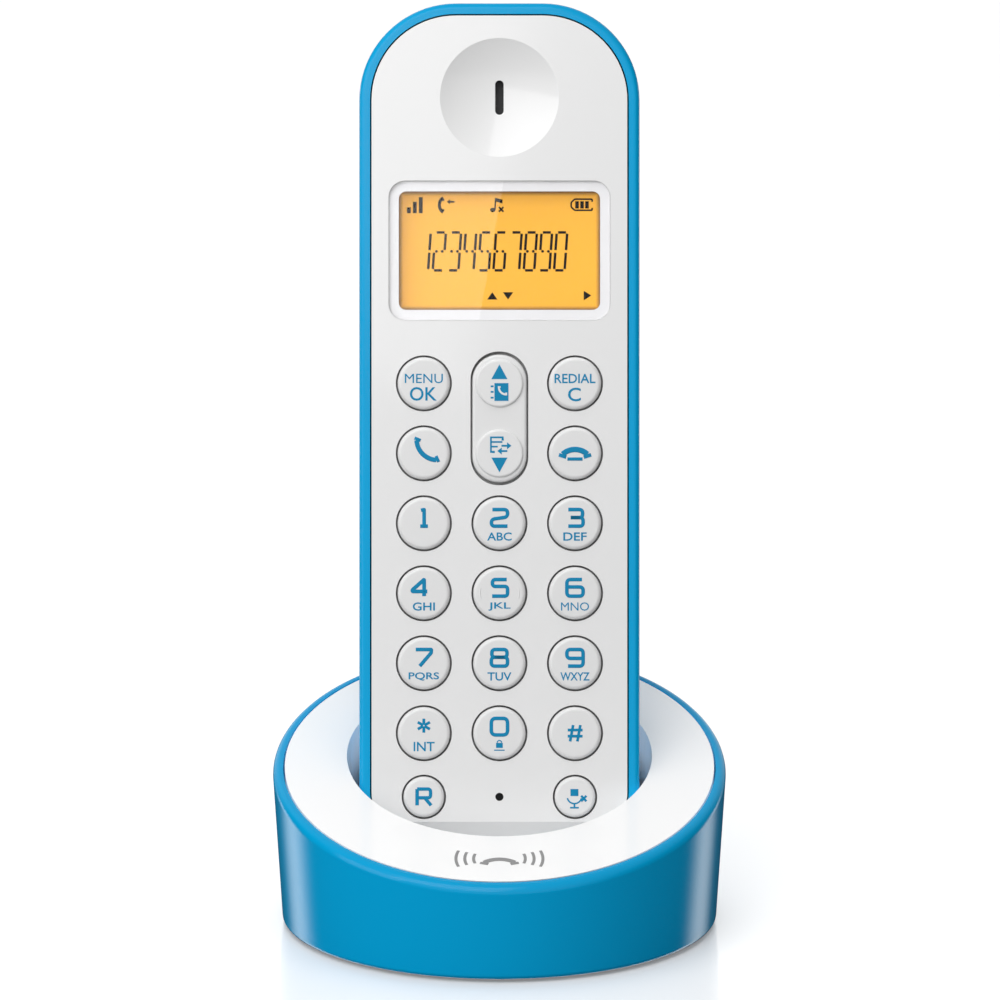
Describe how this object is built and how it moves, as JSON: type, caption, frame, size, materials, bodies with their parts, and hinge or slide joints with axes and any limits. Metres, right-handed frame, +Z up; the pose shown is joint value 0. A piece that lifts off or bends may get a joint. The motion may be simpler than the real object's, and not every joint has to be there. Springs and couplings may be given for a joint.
{
  "type": "cordless phone with charging base",
  "caption": "Cordless telephone handset with round keys and an amber display, standing upright in a round charging base whose top slopes to the front.",
  "frame": {"origin": "middle of the assembled object's box in X and Y, at the underside of the feet", "axes": "+Z up, -Y towards the user (the keypad side), +X to the user's right"},
  "size_m": [0.0778, 0.0874, 0.1543],
  "materials": {
    "white_plastic": "glossy, with a soft sheen",
    "blue_plastic": "glossy",
    "dark_plastic": "matte",
    "foot_rubber": "matte",
    "keymat_rubber": "matte",
    "circuit_board": "satin solder mask",
    "steel": "satin",
    "contact_gold": "polished",
    "lens": "polished clear plastic, with glass standing in for acrylic",
    "silver_print": "satin silver print",
    "lcd_amber": "backlit amber",
    "cell_can": "printed sleeve on a metal can"
  },
  "bodies": {
    "base": {"base_housing": "blue_plastic", "base_top": "white_plastic", "base_plate": "dark_plastic", "base_board": "circuit_board", "base_screw_1": "steel", "base_screw_2": "steel", "charge_board": "circuit_board", "charge_spring_left": "steel", "charge_spring_right": "steel", "foot_1": "foot_rubber", "foot_2": "foot_rubber", "foot_3": "foot_rubber", "foot_4": "foot_rubber", "line_jack": "dark_plastic", "power_jack": "dark_plastic", "page_board": "circuit_board", "page_switch": "dark_plastic"},
    "handset": {"front_cover": "white_plastic", "rear_cover": "blue_plastic", "display_lens": "lens", "display_bezel": "silver_print", "lcd_panel": "lcd_amber", "backlight": "white_plastic", "earpiece": "dark_plastic", "microphone": "dark_plastic", "ringer": "dark_plastic", "keymat": "keymat_rubber", "handset_board": "circuit_board", "antenna": "steel", "battery_cell_left": "cell_can", "battery_cell_right": "cell_can", "battery_contact_lower": "steel", "battery_contact_upper": "steel", "charge_contact_left": "steel", "charge_contact_right": "steel", "handset_screw_left": "steel", "handset_screw_right": "steel"},
    "charge_pin_left": {"charge_pin_left": "contact_gold"},
    "charge_pin_right": {"charge_pin_right": "contact_gold"},
    "page_button": {"page_button": "blue_plastic"},
    "battery_door": {"battery_door": "blue_plastic"},
    "nav_rocker": {"nav_rocker": "white_plastic"},
    "key_menu": {"key_menu": "white_plastic"},
    "key_redial": {"key_redial": "white_plastic"},
    "key_talk": {"key_talk": "white_plastic"},
    "key_end": {"key_end": "white_plastic"},
    "key_1": {"key_1": "white_plastic"},
    "key_2": {"key_2": "white_plastic"},
    "key_3": {"key_3": "white_plastic"},
    "key_4": {"key_4": "white_plastic"},
    "key_5": {"key_5": "white_plastic"},
    "key_6": {"key_6": "white_plastic"},
    "key_7": {"key_7": "white_plastic"},
    "key_8": {"key_8": "white_plastic"},
    "key_9": {"key_9": "white_plastic"},
    "key_star": {"key_star": "white_plastic"},
    "key_0": {"key_0": "white_plastic"},
    "key_hash": {"key_hash": "white_plastic"},
    "key_flash": {"key_flash": "white_plastic"},
    "key_mute": {"key_mute": "white_plastic"}
  },
  "joints": [
    {"name": "handset_lift", "type": "slide", "parent": "base", "child": "handset", "axis": [0, 0.2706, 0.9627], "range_m": [0, 0.06]},
    {"name": "charge_pin_left_press", "type": "slide", "parent": "base", "child": "charge_pin_left", "axis": [0, -0.2706, -0.9627], "range_m": [0, 0.0008], "stiffness_N_per_m": 300, "springref_m": -0.001, "deforming": ["charge_spring_left"]},
    {"name": "charge_pin_right_press", "type": "slide", "parent": "base", "child": "charge_pin_right", "axis": [0, -0.2706, -0.9627], "range_m": [0, 0.0008], "stiffness_N_per_m": 300, "springref_m": -0.001, "deforming": ["charge_spring_right"]},
    {"name": "page_press", "type": "slide", "parent": "base", "child": "page_button", "axis": [0, -1, 0], "range_m": [0, 0.0008], "stiffness_N_per_m": 800, "springref_m": -0.0005},
    {"name": "battery_door_slide", "type": "slide", "parent": "handset", "child": "battery_door", "axis": [0, -0.2706, -0.9627], "range_m": [0, 0.005]},
    {"name": "nav_rock", "type": "hinge", "parent": "handset", "child": "nav_rocker", "pos_m": [0, 0.00894, 0.08518], "axis": [1, 0, 0], "range_deg": [-2.5, 2.5], "stiffness_Nm_per_rad": 0.2},
    {"name": "key_menu_press", "type": "slide", "parent": "handset", "child": "key_menu", "axis": [0, 0.9627, -0.2706], "range_m": [0, 0.0006], "stiffness_N_per_m": 800, "springref_m": -0.0005},
    {"name": "key_redial_press", "type": "slide", "parent": "handset", "child": "key_redial", "axis": [0, 0.9627, -0.2706], "range_m": [0, 0.0006], "stiffness_N_per_m": 800, "springref_m": -0.0005},
    {"name": "key_talk_press", "type": "slide", "parent": "handset", "child": "key_talk", "axis": [0, 0.9627, -0.2706], "range_m": [0, 0.0006], "stiffness_N_per_m": 800, "springref_m": -0.0005},
    {"name": "key_end_press", "type": "slide", "parent": "handset", "child": "key_end", "axis": [0, 0.9627, -0.2706], "range_m": [0, 0.0006], "stiffness_N_per_m": 800, "springref_m": -0.0005},
    {"name": "key_1_press", "type": "slide", "parent": "handset", "child": "key_1", "axis": [0, 0.9627, -0.2706], "range_m": [0, 0.0006], "stiffness_N_per_m": 800, "springref_m": -0.0005},
    {"name": "key_2_press", "type": "slide", "parent": "handset", "child": "key_2", "axis": [0, 0.9627, -0.2706], "range_m": [0, 0.0006], "stiffness_N_per_m": 800, "springref_m": -0.0005},
    {"name": "key_3_press", "type": "slide", "parent": "handset", "child": "key_3", "axis": [0, 0.9627, -0.2706], "range_m": [0, 0.0006], "stiffness_N_per_m": 800, "springref_m": -0.0005},
    {"name": "key_4_press", "type": "slide", "parent": "handset", "child": "key_4", "axis": [0, 0.9627, -0.2706], "range_m": [0, 0.0006], "stiffness_N_per_m": 800, "springref_m": -0.0005},
    {"name": "key_5_press", "type": "slide", "parent": "handset", "child": "key_5", "axis": [0, 0.9627, -0.2706], "range_m": [0, 0.0006], "stiffness_N_per_m": 800, "springref_m": -0.0005},
    {"name": "key_6_press", "type": "slide", "parent": "handset", "child": "key_6", "axis": [0, 0.9627, -0.2706], "range_m": [0, 0.0006], "stiffness_N_per_m": 800, "springref_m": -0.0005},
    {"name": "key_7_press", "type": "slide", "parent": "handset", "child": "key_7", "axis": [0, 0.9627, -0.2706], "range_m": [0, 0.0006], "stiffness_N_per_m": 800, "springref_m": -0.0005},
    {"name": "key_8_press", "type": "slide", "parent": "handset", "child": "key_8", "axis": [0, 0.9627, -0.2706], "range_m": [0, 0.0006], "stiffness_N_per_m": 800, "springref_m": -0.0005},
    {"name": "key_9_press", "type": "slide", "parent": "handset", "child": "key_9", "axis": [0, 0.9627, -0.2706], "range_m": [0, 0.0006], "stiffness_N_per_m": 800, "springref_m": -0.0005},
    {"name": "key_star_press", "type": "slide", "parent": "handset", "child": "key_star", "axis": [0, 0.9627, -0.2706], "range_m": [0, 0.0006], "stiffness_N_per_m": 800, "springref_m": -0.0005},
    {"name": "key_0_press", "type": "slide", "parent": "handset", "child": "key_0", "axis": [0, 0.9627, -0.2706], "range_m": [0, 0.0006], "stiffness_N_per_m": 800, "springref_m": -0.0005},
    {"name": "key_hash_press", "type": "slide", "parent": "handset", "child": "key_hash", "axis": [0, 0.9627, -0.2706], "range_m": [0, 0.0006], "stiffness_N_per_m": 800, "springref_m": -0.0005},
    {"name": "key_flash_press", "type": "slide", "parent": "handset", "child": "key_flash", "axis": [0, 0.9627, -0.2706], "range_m": [0, 0.0006], "stiffness_N_per_m": 800, "springref_m": -0.0005},
    {"name": "key_mute_press", "type": "slide", "parent": "handset", "child": "key_mute", "axis": [0, 0.9627, -0.2706], "range_m": [0, 0.0006], "stiffness_N_per_m": 800, "springref_m": -0.0005}
  ]
}
